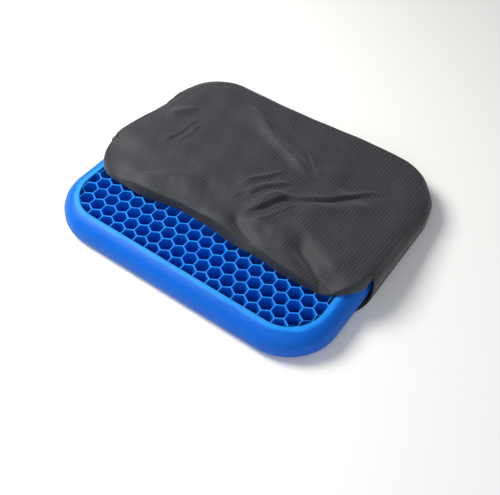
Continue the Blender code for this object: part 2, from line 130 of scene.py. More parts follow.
class StageSettings(bpy.types.PropertyGroup):
    azimuth: angle("Azimuth", "Camera's turn to the right of straight in front", 32.5)
    elevation: angle("Elevation", "Camera's height above the horizon", 49.54)
    roll: angle("Roll", "Camera's tilt about its line of sight", 3.54)
    camera_place: FloatVectorProperty(
        name="Camera place", description="Where the camera stands", default=(0.3866, -0.596, 0.7522),
        subtype="TRANSLATION",
    )
    lens: length("Lens", "Focal length", 0.05324)
    floor: tint("Floor", "Colour of the floor", "#E9E9E8")
    key: FloatProperty(name="Key light", description="Power of the main light", default=27.0, unit="POWER")


# ---------------------------------------------------------------- materials


def add_node(tree, kind, settings=None, inputs=None):
    """Adds a node. Settings are its properties; inputs are values, or sockets to link from."""
    node = tree.nodes.new(kind)
    for name, value in (settings or {}).items():
        setattr(node, name, value)
    for name, value in (inputs or {}).items():
        if isinstance(value, bpy.types.NodeSocket):
            tree.links.new(value, node.inputs[name])
        else:
            node.inputs[name].default_value = value
    return node


def new_material(name):
    """A material with an empty tree but for its output and a Principled shader."""
    made = bpy.data.materials.new(name)
    made.use_nodes = True
    tree = made.node_tree
    return made, tree, tree.nodes["Principled BSDF"]


def colour_between(tree, share, low, high):
    mix = add_node(tree, "ShaderNodeMix", {"data_type": "RGBA"}, {"Factor": share})
    mix.inputs[6].default_value = low
    mix.inputs[7].default_value = high
    return mix.outputs[2]


def darker(colour, by):
    return (colour[0] * by, colour[1] * by, colour[2] * by, 1.0)


def moulded_gel():
    """TPE gel, moulded: satin skin, light soaks in and comes back bluer; a painted highlight pales its
    uppermost 1.6 mm, wall tops and rim alike.
    """
    props = bpy.context.scene.gel_pad_settings
    made, tree, shader = new_material("moulded_TPE_gel")
    place = add_node(tree, "ShaderNodeTexCoord").outputs["Object"]
    height = add_node(tree, "ShaderNodeSeparateXYZ", None, {"Vector": place}).outputs["Z"]
    # Painted highlight: this share rises over the pad's uppermost 1.6 mm and mixes the body towards the
    # crest colour
    crest = add_node(
        tree, "ShaderNodeMapRange", {"interpolation_type": "SMOOTHSTEP"},
        {"Value": height, "From Min": PAD_TOP - 1.6 * MM, "From Max": PAD_TOP - 0.1 * MM},
    ).outputs["Result"]
    # Slow cloudiness, about 40 mm across
    cloud = add_node(tree, "ShaderNodeTexNoise", None, {"Vector": place, "Scale": 25.0, "Detail": 3.0})
    body = colour_between(tree, cloud.outputs["Fac"], darker(props.colour, 0.86), darker(props.colour, 1.12))
    mix = add_node(tree, "ShaderNodeMix", {"data_type": "RGBA"}, {"Factor": crest})
    tree.links.new(body, mix.inputs[6])
    mix.inputs[7].default_value = props.crest
    tree.links.new(mix.outputs[2], shader.inputs["Base Color"])
    # Fine orange-peel from the mould, about 1.5 mm across
    peel = add_node(tree, "ShaderNodeTexNoise", None, {"Vector": place, "Scale": 650.0, "Detail": 2.0})
    bump = add_node(
        tree, "ShaderNodeBump", None, {"Height": peel.outputs["Fac"], "Strength": 0.12, "Distance": 0.2 * MM}
    )
    tree.links.new(bump.outputs["Normal"], shader.inputs["Normal"])
    shader.inputs["Roughness"].default_value = 0.5
    shader.inputs["IOR"].default_value = 1.48
    shader.inputs["Specular IOR Level"].default_value = 0.18
    shader.inputs["Subsurface Weight"].default_value = 0.4
    shader.inputs["Subsurface Radius"].default_value = (0.1, 0.45, 1.0)
    shader.inputs["Subsurface Scale"].default_value = 6 * MM
    return made


def knitted_cloth(name, colour, rib_mm, hole_strength):
    """Polyester warp knit: dull, a faint sheen at grazing angles, ribs with small openings between them."""
    made, tree, shader = new_material(name)
    cloth = add_node(tree, "ShaderNodeTexCoord").outputs["UV"]
    metres = add_node(tree, "ShaderNodeSeparateXYZ", None, {"Vector": cloth})
    # Ribs run along V; sin waves at the thread spacing, in metres
    def wave(socket, spacing):
        turn = add_node(
            tree, "ShaderNodeMath", {"operation": "MULTIPLY"}, {0: socket, 1: 2 * math.pi / (spacing * MM)}
        )
        return add_node(tree, "ShaderNodeMath", {"operation": "SINE"}, {0: turn.outputs[0]}).outputs[0]

    across = wave(metres.outputs["X"], rib_mm)
    along = wave(metres.outputs["Y"], rib_mm * 1.35)
    holes = add_node(tree, "ShaderNodeMath", {"operation": "MULTIPLY"}, {0: across, 1: along}).outputs[0]
    ribs = add_node(
        tree, "ShaderNodeMath", {"operation": "MULTIPLY_ADD"}, {0: holes, 1: hole_strength, 2: across}
    )
    level = add_node(
        tree, "ShaderNodeMapRange", None,
        {"Value": ribs.outputs[0], "From Min": -1.6, "From Max": 1.6, "To Min": 0.0, "To Max": 1.0},
    ).outputs["Result"]
    # Uneven dye and lint, about 30 mm across with finer grain in it
    grain = add_node(
        tree, "ShaderNodeTexNoise", None, {"Vector": cloth, "Scale": 30.0, "Detail": 8.0, "Roughness": 0.75}
    )
    both = add_node(
        tree, "ShaderNodeMath", {"operation": "MULTIPLY_ADD"}, {0: level, 1: 1.2, 2: grain.outputs["Fac"]}
    )
    share = add_node(
        tree, "ShaderNodeMapRange", None, {"Value": both.outputs[0], "From Min": 0.25, "From Max": 1.9}
    ).outputs["Result"]
    dye = colour_between(tree, share, darker(colour, 0.55), darker(colour, 1.5))
    tree.links.new(dye, shader.inputs["Base Color"])
    bump = add_node(tree, "ShaderNodeBump", None, {"Height": level, "Strength": 0.5, "Distance": 0.35 * MM})
    tree.links.new(bump.outputs["Normal"], shader.inputs["Normal"])
    shader.inputs["Roughness"].default_value = 0.66
    shader.inputs["Sheen Weight"].default_value = 0.2
    shader.inputs["Sheen Roughness"].default_value = 0.4
    shader.inputs["Specular IOR Level"].default_value = 0.45
    return made


def plain_finish(name, colour, roughness, metallic=0.0, grain_mm=0.5, depth_mm=0.02, contrast=0.2):
    """A moulded, woven or lacquered small part: one colour broken by fine grain."""
    made, tree, shader = new_material(name)
    place = add_node(tree, "ShaderNodeTexCoord").outputs["Object"]
    grain = add_node(
        tree, "ShaderNodeTexNoise", None, {"Vector": place, "Scale": 1 / (grain_mm * MM), "Detail": 3.0}
    ).outputs["Fac"]
    low, high = darker(colour, 1 - contrast), darker(colour, 1 + contrast)
    tree.links.new(colour_between(tree, grain, low, high), shader.inputs["Base Color"])
    relief = {"Height": grain, "Strength": 0.4, "Distance": depth_mm * MM}
    bump = add_node(tree, "ShaderNodeBump", None, relief)
    tree.links.new(bump.outputs["Normal"], shader.inputs["Normal"])
    shader.inputs["Roughness"].default_value = roughness
    shader.inputs["Metallic"].default_value = metallic
    return made


def woven_tape():
    """Polyester tape, woven: dull, with fine cross ribs."""
    return plain_finish("woven_polyester_tape", linear("#1B1B1D"), 0.85, grain_mm=0.6, depth_mm=0.15)


# ---------------------------------------------------------------- surfaces


def add_surface(name, points, quads, finish, uv=None, smooth=True):
    """A mesh from an (n, 3) array of points and an (m, 4) array of corner numbers. uv is per point."""
    mesh = bpy.data.meshes.new(name)
    mesh.vertices.add(len(points))
    mesh.vertices.foreach_set("co", np.ascontiguousarray(points, np.float32).ravel())
    corners = np.ascontiguousarray(quads, np.int32).ravel()
    mesh.loops.add(len(corners))
    mesh.loops.foreach_set("vertex_index", corners)
    mesh.polygons.add(len(quads))
    mesh.polygons.foreach_set("loop_start", np.arange(len(quads), dtype=np.int32) * 4)
    mesh.update(calc_edges=True)
    if uv is not None:
        layer = mesh.uv_layers.new(name="cloth")
        layer.data.foreach_set("uv", np.ascontiguousarray(uv[corners], np.float32).ravel())
    mesh.validate()
    mesh.polygons.foreach_set("use_smooth", np.full(len(mesh.polygons), smooth))
    made = bpy.data.objects.new(name, mesh)
    made.data.materials.append(finish)
    bpy.context.scene.collection.objects.link(made)
    return made


def grid_quads(rows, columns, closed=False, start=0):
    """Corner numbers of the quads of a row-by-row grid; closed joins the last column to the first."""
    numbers = np.arange(rows * columns).reshape(rows, columns) + start
    here = numbers if closed else numbers[:, :-1]
    there = np.roll(numbers, -1, axis=1) if closed else numbers[:, 1:]
    return np.stack([here[:-1], there[:-1], there[1:], here[1:]], axis=-1).reshape(-1, 4)


def repeated_quads(quads, copies, points_each):
    """The faces of one shape, numbered for several copies of it stored one after another."""
    return (quads[None] + np.arange(copies)[:, None, None] * points_each).reshape(-1, 4)


def solidify(piece, thickness):
    """Gives a cloth surface its thickness, inwards from its outer face."""
    modifier = piece.modifiers.new("cloth thickness", "SOLIDIFY")
    modifier.thickness = thickness
    modifier.offset = -1.0
    modifier.use_even_offset = False


def smooth_step(share):
    share = np.clip(share, 0.0, 1.0)
    return share * share * (3 - 2 * share)


def core_point(points, half, front_radius, back_radius):
    """For each plan point, the middle of the rounding that it belongs to: the nearest point of the
    rectangle that is left when the corner radius is taken off each side. Also gives that radius."""
    radius = np.where(points[..., 1] < 0, front_radius, back_radius)
    core_x = half[0] - radius
    core_y = half[1] - radius
    nearest = np.stack(
        [np.clip(points[..., 0], -core_x, core_x), np.clip(points[..., 1], -core_y, core_y)], axis=-1
    )
    return nearest, radius


def into_outline(points, half, front_radius, back_radius=None):
    """Points outside a rounded rectangle come in to the nearest point on it; the rest stay."""
    nearest, radius = core_point(points, half, front_radius, back_radius or front_radius)
    away = points - nearest
    length = np.maximum(np.linalg.norm(away, axis=-1), 1e-9)
    return nearest + away * np.minimum(1.0, radius / length)[..., None]


def outward(points, half, front_radius, back_radius=None):
    """Unit normals of the rounded rectangle at points on it."""
    nearest, _ = core_point(points, half, front_radius, back_radius or front_radius)
    away = points - nearest
    return away / np.maximum(np.linalg.norm(away, axis=-1, keepdims=True), 1e-9)


def slow_waves(x, y, seed, wavelengths_mm, height):
    """A sum of sine waves in fixed but irregular directions, one for each wavelength."""
    rng = np.random.default_rng(seed)
    total = np.zeros(np.broadcast(x, y).shape)
    for wavelength in wavelengths_mm:
        angle = rng.uniform(0, math.pi)
        phase = rng.uniform(0, 2 * math.pi)
        along = x * math.cos(angle) + y * math.sin(angle)
        total += np.sin(along * 2 * math.pi / (wavelength * MM) + phase)
    return total * height / len(wavelengths_mm)


# ---------------------------------------------------------------- gel pad


def hexagon(points_per_side):
    """Points round a hexagon of radius 1 with corners at 30, 90, ... degrees."""
    turn = np.radians(30 + 60 * np.arange(7))
    corners = np.stack([np.cos(turn), np.sin(turn)], axis=-1)
    share = np.arange(points_per_side)[:, None] / points_per_side
    sides = corners[:-1, None] * (1 - share) + corners[1:, None] * share
    return sides.reshape(-1, 2)


def polygon_area(points):
    """Signed area of each closed polygon in an (..., n, 2) array."""
    following = np.roll(points, -1, axis=-2)
    return 0.5 * (points[..., 0] * following[..., 1] - points[..., 1] * following[..., 0]).sum(axis=-1)


def honeycomb(props):
    """Cells of the pad. Each cell is its hexagon carried down the wall: from the ridge shared with its
    neighbours, round the wall's half-round top, down past a slightly thicker middle, and out again.
    Points beyond the rim's inner edge are drawn back onto it, which cuts the outer cells off."""
    per_side = 3
    row_step = props.cell_pitch * math.sqrt(3) / 2
    rows = np.arange(-math.ceil(PAD_HALF[1] / row_step), math.ceil(PAD_HALF[1] / row_step))
    most_columns = math.ceil(PAD_HALF[0] / props.cell_pitch)
    columns = np.arange(-most_columns, most_columns + 1)
    centres = np.stack(
        np.broadcast_arrays(
            columns[None] * props.cell_pitch + (rows[:, None] % 2) * props.cell_pitch / 2,
            (rows[:, None] + 0.5) * row_step,
        ),
        axis=-1,
    ).reshape(-1, 1, 2)
    half_wall = props.cell_wall / 2
    thicker = 0.25 * MM
    turns = np.radians([0, 35, 65, 90])
    insets = half_wall * np.sin(turns)
    drops = half_wall * (1 - np.cos(turns))
    height = PAD_TOP - PAD_LOW.z
    insets = np.concatenate([insets, [half_wall + thicker], insets[::-1]])
    levels = np.concatenate([PAD_TOP - drops, [PAD_TOP - height / 2], PAD_LOW.z + drops[::-1]])
    shape = hexagon(per_side)
    rings = []
    for inset in insets:
        radius = (props.cell_pitch / 2 - inset) / math.cos(math.pi / 6)
        rim = props.rim_width + inset
        rings.append(into_outline(centres + shape * radius, PAD_HALF - rim, PAD_CORNER - rim))
    rings = np.stack(rings, axis=1)
    crest_area = polygon_area(rings[:, 0])
    whole = crest_area.max()
    mouth_area = polygon_area(rings[:, len(turns) - 1])
    is_open = mouth_area > 0.16 * whole
    is_filled = ~is_open & (crest_area > 1e-6 * whole)
    count = len(shape)
    open_rings = rings[is_open]
    z = np.broadcast_to(levels[None, :, None, None], (*open_rings.shape[:3], 1))
    points = np.concatenate([open_rings, z], axis=-1).reshape(-1, 3)
    one = grid_quads(len(insets), count, closed=True)
    quads = repeated_quads(one, len(open_rings), len(insets) * count)
    # Cut cells too small to mould stay solid: a flat skin above and below
    skins = rings[is_filled][:, 0]
    for level, flip in ((PAD_TOP, False), (PAD_LOW.z, True)):
        middle = np.broadcast_to(skins.mean(axis=1, keepdims=True), skins.shape)
        both = np.stack([skins, middle], axis=1)
        z = np.full((*both.shape[:3], 1), level)
        start = len(points)
        points = np.concatenate([points, np.concatenate([both, z], axis=-1).reshape(-1, 3)])
        one = grid_quads(2, count, closed=True)
        one = one[:, ::-1] if flip else one
        quads = np.concatenate([quads, start + repeated_quads(one, len(skins), 2 * count)])
    return points, quads


def gel_rim(props):
    """The rim's closed section carried round the pad's outline: foot, widest line, shoulder, and an
    inner edge that laps 1 mm over the cut cells."""
    turns = np.radians(np.linspace(0, 90, 7))
    finer = np.radians(np.linspace(0, 90, 15))
    height = PAD_TOP - PAD_LOW.z
    lap = 1.0 * MM
    lip = np.radians(np.linspace(0, 90, 4))
    inner = props.rim_width + lap
    edge = 0.8 * MM
    insets = np.concatenate([
        props.foot_inset * (1 - np.sin(turns)),
        props.rim_width * (1 - np.cos(finer)),
        inner - edge + edge * np.sin(lip),
        inner - edge + edge * np.cos(lip),
    ])
    levels = np.concatenate([
        props.foot * (1 - np.cos(turns)),
        height - props.shoulder * (1 - np.sin(finer)),
        height - edge * (1 - np.cos(lip)),
        edge * (1 - np.sin(lip)),
    ])
    count = 640
    ring = unit_perimeter(count)
    far = ring * 2 * PAD_HALF.max()
    plan = np.stack([into_outline(far, PAD_HALF - inset, PAD_CORNER - inset) for inset in insets])
    z = np.broadcast_to((PAD_LOW.z + levels)[:, None, None], (*plan.shape[:2], 1))
    points = np.concatenate([plan, z], axis=-1).reshape(-1, 3)
    quads = grid_quads(len(insets) + 1, count, closed=True)
    return points, quads % (len(insets) * count)


def unit_perimeter(count):
    """Points round a square of half side 1, anticlockwise from the middle of its right side."""
    turn = np.arange(count) / count * 8
    across = 2 - np.abs((turn + 4) % 8 - 4)
    upward = 2 - np.abs((turn + 2) % 8 - 4)
    return np.clip(np.stack([across, upward], axis=-1), -1, 1)


def welded(points, quads, within=1e-6):
    """Points closer than within made one, and quads that have fallen in on themselves dropped."""
    keys = np.round(points / within).astype(np.int64)
    _, first, number = np.unique(keys, axis=0, return_index=True, return_inverse=True)
    quads = number.reshape(-1)[quads]
    repeated = (quads == np.roll(quads, 1, axis=1)).sum(axis=1) + (quads[:, 0] == quads[:, 2]) * 2
    return points[first], quads[repeated < 2]


def outer_wall(points, quads):
    """Quads between the open edges of the honeycomb's upper and lower faces, which match in plan."""
    starts, ends = quads, np.roll(quads, -1, axis=1)
    real = starts != ends
    pairs = np.stack([starts[real], ends[real]], axis=-1)
    _, number, count = np.unique(np.sort(pairs, axis=1), axis=0, return_inverse=True, return_counts=True)
    open_pairs = pairs[count[number.reshape(-1)] == 1]
    upper = points[open_pairs[:, 0], 2] > (PAD_TOP + PAD_LOW.z) / 2
    top = open_pairs[upper]
    keys = np.round(points[:, :2] / 2e-6).astype(np.int64)
    low_points = np.flatnonzero(points[:, 2] < PAD_LOW.z + 0.01 * MM)
    order = {tuple(keys[i]): i for i in low_points}
    below = np.array([[order[tuple(keys[i])] for i in pair] for pair in top])
    return np.stack([top[:, 1], top[:, 0], below[:, 0], below[:, 1]], axis=-1)


def facing_out(points, quads):
    """The quads, turned over if the body they close has a negative volume."""
    a, b, c, d = (points[quads[:, i]] for i in range(4))
    volume = (a * np.cross(b, c)).sum() + (a * np.cross(c, d)).sum()
    return quads if volume > 0 else quads[:, ::-1]


# ---------------------------------------------------------------- the cover's shape

# Sizes of the sewn bag, as the part has them
WALL_FRONT = -0.037
FALL_START = -0.037
FALL_LENGTH = 0.130
RAISED = 0.010
CUFF_DEPTH = 0.032
WALL_FOOT = 0.0018
ZIP_END = 0.110
ZIP_Z = 0.0198
TAPE_WIDTH = 0.009
SPREAD_START = 0.0237
CHAIN_PARTING = 0.0016
ROW_AND_TAPE = 0.0126

MOUTH_REACH = 0.07  # how far behind the mouth its forward sweep fades out
SEAM_SHARE = 0.68  # height of the seam, as a share of the way from upright wall to upper edge
SEAM_LAP = 1 * MM
TAPE_LAP = 1.5 * MM
MOUTH_REST = 1.6 * MM  # from the pad's face to the outer face of the turned-under cloth
JUST_OUTSIDE = 0.010  # moves points clear of an outline before they are drawn back onto it
ROUND_PART = 0.62  # share of the rolled rows that go round; the rest go back in

# The cover's side as it settles on the pad: plan angle about the cover's middle in degrees, how far in
# the cloth's upper edge lies and the height to which the wall stands upright, both in mm
EDGE_FORM = (
    (-45, 8, 36),
    (-30, 11, 36),
    (-16, 7, 34),
    (0, 7, 28),
    (14, 13, 24),
    (24, 19, 22),
    (32, 16, 22),
    (42, 8, 22),
    (60, 6, 22),
    (90, 13, 22),
    (120, 18, 22),
    (140, 17, 22),
    (155, 28, 27),
    (165, 28, 28),
    (175, 20, 26),
    (184, 11, 31),
    (191, 7, 37),
    (202, 8, 40),
    (212, 12, 38),
    (228, 8, 36),
)

# Soft dents and swellings: x, y, height and radius, in mm
SWELLINGS = (
    (-150, -94, -9, 20),
    (-190, -64, -8, 30),
    (176, -88, -7, 20),
    (-60, 10, 3, 70),
    (78, 96, 3.5, 22),
    (150, 20, 2, 45),
    (95, -20, 3, 30),
    (-20, 60, 2, 35),
    (118, 118, -5, 50),
)

# Round-backed folds and valleys: route in mm, height in mm, half width in mm
SOFT_FOLDS = (
    (((-150, -104), (-108, -78), (-76, -52), (-38, -34)), 6, 14),
    (((92, -30), (116, -54), (144, -70), (172, -86), (186, -98)), -11, 12),
    (((10, -52), (30, -70), (56, -82), (84, -90)), -6, 8),
    (((-182, 38), (-170, 74), (-152, 92)), 3.5, 8),
    (((-108, 149), (-70, 131), (-30, 106), (8, 89), (42, 74), (70, 64)), 6, 12),
    (((190, -56), (203, -20), (200, 45), (190, 105)), 2.5, 12),
    (((18, -44), (32, -22), (40, 0), (58, 16)), 3, 6),
    (((4, -30), (14, -8), (30, 20), (44, 34)), 3, 6),
    (((-10, -24), (0, 4), (16, 34), (30, 50)), 2.5, 6),
    (((30, -62), (50, -50), (64, -30), (78, -6)), 3, 7),
    (((-30, -76), (0, -74), (28, -72)), 2, 9),
    (((60, -4), (96, 16), (130, 46), (168, 84)), 5, 13),
    (((88, 62), (124, 96), (160, 128)), -3, 16),
    (((150, -70), (172, -40), (186, 0)), 3, 12),
    (((60, -60), (86, -48), (118, -44)), 3, 10),
)

# Creases where the cloth laps over itself: route in mm with the high side on its left, step in mm,
# and how far the high side and the low side reach in mm
CREASES = (
    (
        ((20, -55), (34, -37), (44, -16), (54, 5), (72, 15), (97, 37), (118, 66), (141, 95), (170, 116)),
        8, 22, 14,
    ),
    (((10, -26), (21, -2), (38, 24), (48, 36)), 3.2, 7, 7),
    (((-8, -12), (5, 12), (18, 34), (30, 58)), 2.8, 7, 7),
    (((36, -60), (55, -44), (64, -22), (76, 4)), 3.2, 8, 7),
    (((-4, -42), (6, -22), (18, 0), (30, 12)), 2.6, 6, 6),
    (((-143, -12), (-138, 30), (-138, 72)), 3.0, 8, 6),
    (((-128, 4), (-125, 36), (-128, 60)), 2.4, 7, 5),
    (((26, 110), (44, 92), (64, 74)), 4.5, 9, 8),
    (((-108, 149), (-70, 131), (-30, 106), (8, 89), (42, 74), (70, 64)), -7.0, 80, 50),
    (((-150, -99), (-112, -80), (-78, -56)), 2.5, 12, 25),
)


def smooth_route(route, samples=8):
    """Points along a Catmull-Rom curve through a route given in mm."""
    marks = np.array(route, float) * MM
    marks = np.vstack([2 * marks[0] - marks[1], marks, 2 * marks[-1] - marks[-2]])
    t = (np.arange(samples) / samples)[None, :, None]
    a, b, c, d = (marks[i : len(marks) - 3 + i, None] for i in range(4))
    curve = 0.5 * (
        2 * b + (c - a) * t + (2 * a - 5 * b + 4 * c - d) * t**2 + (3 * b - a - 3 * c + d) * t**3
    )
    return np.vstack([curve.reshape(-1, 2), marks[-2]])


def beside_route(x, y, route):
    """For each plan point: signed distance to a route, positive on its left, and its place along it,
    from 0 to 1."""
    curve = smooth_route(route)
    start, leg = curve[:-1], np.diff(curve, axis=0)
    away = np.stack([x, y], axis=-1)[..., None, :] - start
    share = np.clip((away * leg).sum(-1) / (leg**2).sum(-1), 0, 1)
    offset = away - share[..., None] * leg
    distance = np.linalg.norm(offset, axis=-1)
    nearest = distance.argmin(axis=-1)[..., None]
    side = np.sign(leg[:, 0] * offset[..., 1] - leg[:, 1] * offset[..., 0])
    signed = np.take_along_axis(distance * np.where(side == 0, 1, side), nearest, -1)[..., 0]
    along = (np.take_along_axis(share, nearest, -1)[..., 0] + nearest[..., 0]) / len(leg)
    return signed, along


def end_taper(along, share=0.22):
    return smooth_step(along / share) * smooth_step((1 - along) / share)


def panel_height(y):
    """Outer height of the upper panel as the part has it: level over the mouth, then an S-curve down."""
    return PANEL_HIGH.z - RAISED * smooth_step((y - FALL_START) / FALL_LENGTH)


def outline_distance(points, half, front_radius, back_radius):
    """How far inside a rounded rectangle each point lies; negative outside."""
    nearest, radius = core_point(points, half, front_radius, back_radius)
    away = points - nearest
    in_corner = (np.abs(away) > 0).all(axis=-1)
    rounded = radius - np.linalg.norm(away, axis=-1)
    return np.where(in_corner, rounded, (half - np.abs(points)).min(axis=-1))


def pad_surface(x, y):
    """Height of the pad's upper face, with its rim falling away as a quarter ellipse."""
    props = bpy.context.scene.gel_pad_settings
    depth = outline_distance(np.stack([x, y], axis=-1), PAD_HALF, PAD_CORNER, PAD_CORNER)
    share = np.clip(1 - depth / props.rim_width, 0, 1)
    return PAD_TOP - props.shoulder * (1 - np.sqrt(1 - share**2))


def edge_form(turn):
    """Inset of the cloth's upper edge and height to which the wall stands upright, at each plan angle
    about the cover's middle, read smoothly between the marks of EDGE_FORM."""
    marks = np.array(EDGE_FORM, float)
    angles = np.concatenate([marks[:, 0] - 360, marks[:, 0], marks[:, 0] + 360])
    degrees = np.degrees(turn)
    spread = (-6, -3, 0, 3, 6)
    values = [
        sum(np.interp(degrees + d, angles, np.tile(marks[:, k], 3)) for d in spread) / len(spread) * MM
        for k in (1, 2)
    ]
    return values


def outline_place(points):
    """Plan points moved onto the cover's own outline: place, outward normal, edge inset, upright height."""
    middle = np.array([0, COVER_MIDDLE_Y])
    local = into_outline(points - middle, COVER_HALF, MOUTH_CORNER, BACK_CORNER)
    normal = outward(local, COVER_HALF, MOUTH_CORNER, BACK_CORNER)
    inset, upright = edge_form(np.arctan2(local[..., 1], local[..., 0]))
    return local + middle, normal, inset, upright


def room_to_edge(x, y):
    """How far inside the line where the upper cloth rolls over each plan point lies."""
    point = np.stack([x, y - COVER_MIDDLE_Y], axis=-1)
    inset, _ = edge_form(np.arctan2(point[..., 1], point[..., 0]))
    return outline_distance(point, COVER_HALF, MOUTH_CORNER, BACK_CORNER) - inset


def front_wave(x):
    """How far the mouth's ridge sits back from its place in the middle: it runs forward at both ends."""
    across = x / MM
    left = smooth_step((-across - 45) / 75)
    right = smooth_step((across - 60) / 60)
    return -(11 * left + 9 * right) * MM


def band_reach(x):
    """How far the turned mouth slopes forward from its ridge to its lower edge."""
    return (2 + 6.5 * np.exp(-(((x / MM - 48) / 36) ** 2))) * MM


def cover_height(x, y):
    """Outer height of the cloth: the panel's own, lowered along its edges, plus every swelling, fold and
    crease, plus slow waves, and never into the pad."""
    props = bpy.context.scene.cover_settings
    to_edge = room_to_edge(x, y)
    behind_mouth = smooth_step((y - COVER_FRONT - 0.01) / 0.04)
    near_side = np.clip(1 - to_edge / 0.022, 0, 1) ** 2 * behind_mouth
    total = slow_waves(x, y, 5, (95, 70, 52, 41), 1.8 * MM) + slow_waves(x, y, 11, (31, 23, 17), 0.22 * MM)
    for centre_x, centre_y, height, reach in SWELLINGS:
        away = ((x / MM - centre_x) ** 2 + (y / MM - centre_y) ** 2) / reach**2
        total += height * MM * np.exp(-away)
    for route, height, width in SOFT_FOLDS:
        signed, along = beside_route(x, y, route)
        total += height * MM * np.exp(-((signed / (width * MM)) ** 2)) * end_taper(along, 0.3)
    for route, height, high_reach, low_reach in CREASES:
        signed, along = beside_route(x, y, route)
        lap = 0.5 + 0.5 * np.tanh(signed / (1.0 * MM))
        high = np.exp(-np.abs(signed) / (high_reach * MM)) * lap
        low = np.exp(-np.abs(signed) / (low_reach * MM)) * (1 - lap)
        total += height * MM * (0.6 * high - 0.4 * low) * end_taper(along)
    held_down = 1 - 0.6 * np.clip(1 - to_edge / 0.03, 0, 1) * smooth_step((y - WALL_FRONT) / 0.03)
    height = panel_height(y) + total * props.fold_height * held_down - 2.5 * MM * near_side
    return np.maximum(height, pad_surface(x, y) + 2.6 * MM)


def side_share(share):
    """Section of the cover's side, 0 where the wall stops being upright and 1 at the upper edge: how far
    in, as a share of the edge's inset. It is part quarter ellipse, part straight."""
    return 0.6 * (1 - np.sqrt(1 - share**2)) + 0.4 * share


def set_back(plan):
    """Moves points near the mouth by front_wave, fading out MOUTH_REACH behind it."""
    share = smooth_step((COVER_FRONT + MOUTH_REACH - plan[..., 1]) / MOUTH_REACH)
    moved = plan.copy()
    moved[..., 1] += front_wave(plan[..., 0]) * share
    return moved


def band_section(angle, drop, reach):
    """Section of the turned mouth: a slightly bellied slope, down by drop and out by reach, as angle
    goes from 0 to pi. Gives out and down."""
    slope = (1 - np.cos(angle)) / 2
    return reach * slope + 0.12 * drop * np.sin(angle), drop * slope


def top_cloth_surface():
    """The upper cloth on one square grid. Inside its edge line, a grid point sits at its place on the
    rectangle, drawn towards the rounded outline the nearer it is to the edge. Outside it, each further
    row is one step round the rolled edge's section."""
    step, rows = 2.05 * MM, 22
    half = COVER_HALF - EDGE_FORM[0][1] * MM
    count_x, count_y = int(half[0] / step), int(half[1] / step)
    i, j = np.meshgrid(
        np.arange(-count_x - rows, count_x + rows + 1), np.arange(-count_y - rows, count_y + rows + 1)
    )
    beyond = np.maximum(np.maximum(np.abs(i) - count_x, np.abs(j) - count_y), 0)
    ray = np.stack([i / (count_x + beyond), j / (count_y + beyond)], axis=-1)
    share = np.maximum(np.abs(ray).max(axis=-1, keepdims=True), 1e-9)
    middle = np.array([0, COVER_MIDDLE_Y])
    plain = ray * half + middle
    place, normal, inset, upright = outline_place(ray / share * (half + JUST_OUTSIDE) + middle)
    edge = place - normal * inset[..., None]
    # The ray's end already lies on the rectangle, so only the corners move
    drawn = middle + (edge - middle) * share
    plan = set_back(plain + (drawn - plain) * share**4)
    z = cover_height(plan[..., 0], plan[..., 1])
    around = np.clip(beyond / rows / ROUND_PART, 0, 1)
    under = np.clip((beyond / rows - ROUND_PART) / (1 - ROUND_PART), 0, 1)
    at_mouth = smooth_step((WALL_FRONT + 0.004 - place[..., 1]) / 0.014)
    # Over the mouth: down to the pad, then back in under the upper cloth
    landing = np.maximum(pad_surface(plan[..., 0], plan[..., 1]) + 1.3 * MM, 0.030)
    band_out, band_down = band_section(around * math.pi, z - landing, band_reach(place[..., 0]))
    band_out = band_out - CUFF_DEPTH * under
    # Down the sides: along the side's section to the seam, then a short seam allowance
    seam = seam_level(place, z, upright)
    height = z - (z - seam) * (1 - np.cos(around * math.pi / 2))
    side_out = inset * (1 - side_share(np.clip((height - upright) / (z - upright), 0, 1))) + 0.4 * MM
    side_out = np.where(beyond > 0, side_out, 0) - 2.5 * MM * under
    out = side_out + (band_out - side_out) * at_mouth
    down = (z - height) + (band_down - (z - height)) * at_mouth
    rolled = beyond > 0
    plan = np.where(rolled[..., None], plan + normal * out[..., None], plan)
    z = np.where(rolled, z - down, z)
    # The turned-under mouth rests on the pad, and climbs its rim rather than passing through it
    resting = rolled & (at_mouth > 0)
    z = np.where(resting, np.maximum(z, pad_surface(plan[..., 0], plan[..., 1]) + MOUTH_REST), z)
    points = np.concatenate([plan, z[..., None]], axis=-1)
    uv = np.stack([i * step, j * step], axis=-1)
    return points, uv


def seam_level(place, top, upright):
    """Height of the seam between the upper cloth and the wall: a third of the way down the rounded
    side, but never below the zip's upper tape."""
    seam = upright + (top - upright) * SEAM_SHARE
    beside_zip = (place[..., 0] < 0) & (place[..., 1] < ZIP_END + 0.004)
    return np.where(beside_zip, np.maximum(seam, strip_edge(place[..., 1], 1) + 0.8 * MM), seam)


